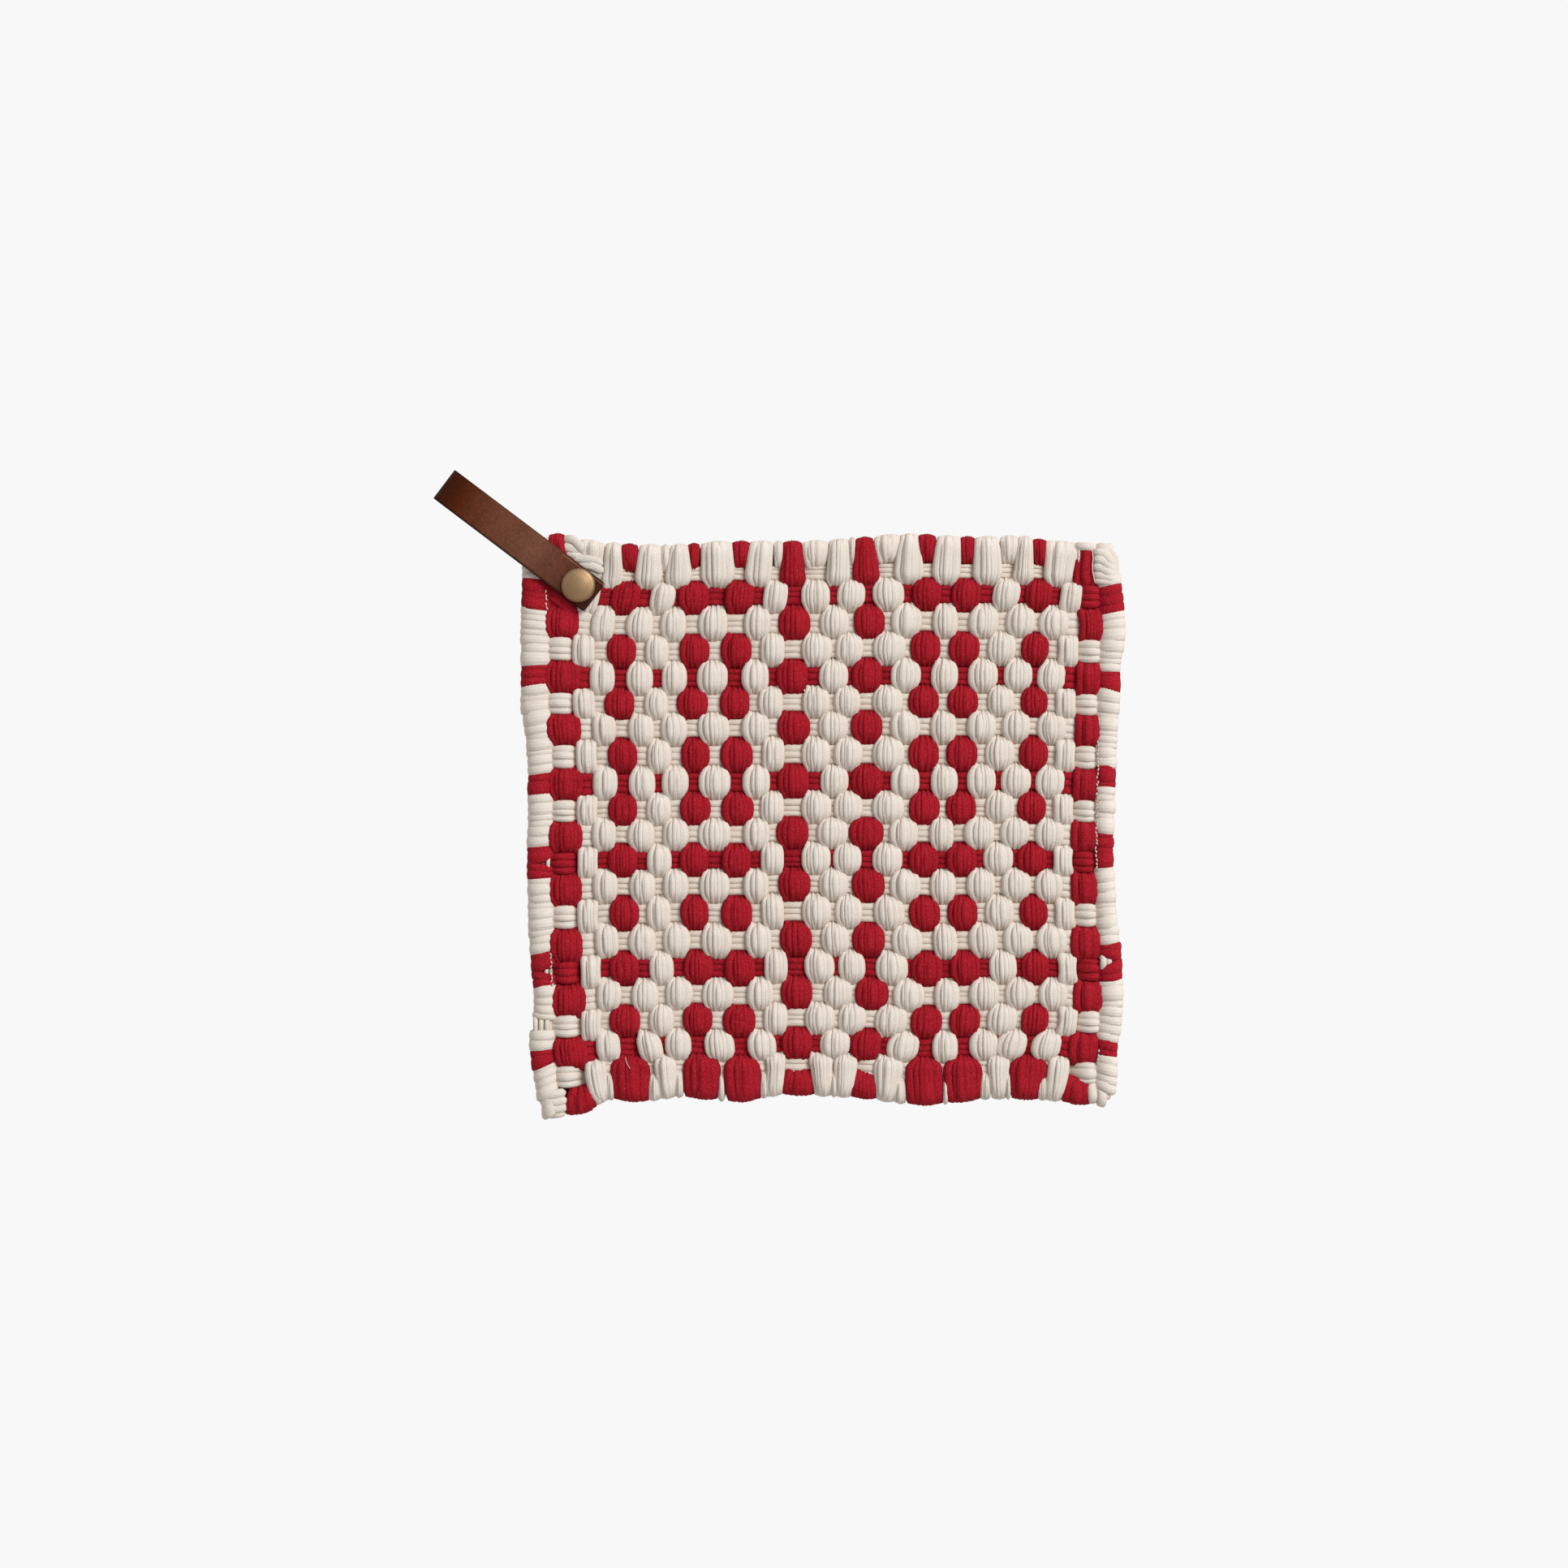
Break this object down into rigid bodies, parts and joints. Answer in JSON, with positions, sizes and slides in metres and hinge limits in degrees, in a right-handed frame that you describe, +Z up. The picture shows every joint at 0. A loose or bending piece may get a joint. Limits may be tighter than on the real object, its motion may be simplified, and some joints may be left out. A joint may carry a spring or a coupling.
{
  "type": "pot holder",
  "caption": "Square hand-woven cotton pot holder in cream and red, lying flat, with a folded leather hanging loop riveted through one corner.",
  "frame": {"origin": "on the surface that the pot holder lies on, under the middle of its footprint", "axes": "+Z up, out of the face that shows; +X along the wefts, to the right of that face; +Y along the warps, towards the edge next to the loop"},
  "size_m": [0.2388, 0.2228, 0.0117],
  "materials": {
    "cotton": "matte",
    "leather": "satin",
    "antique_brass": "satin"
  },
  "bodies": {
    "root": {"woven_mat": "cotton", "leather_loop": "leather", "rivet_cap": "antique_brass", "rivet_back": "antique_brass"}
  },
  "joints": []
}
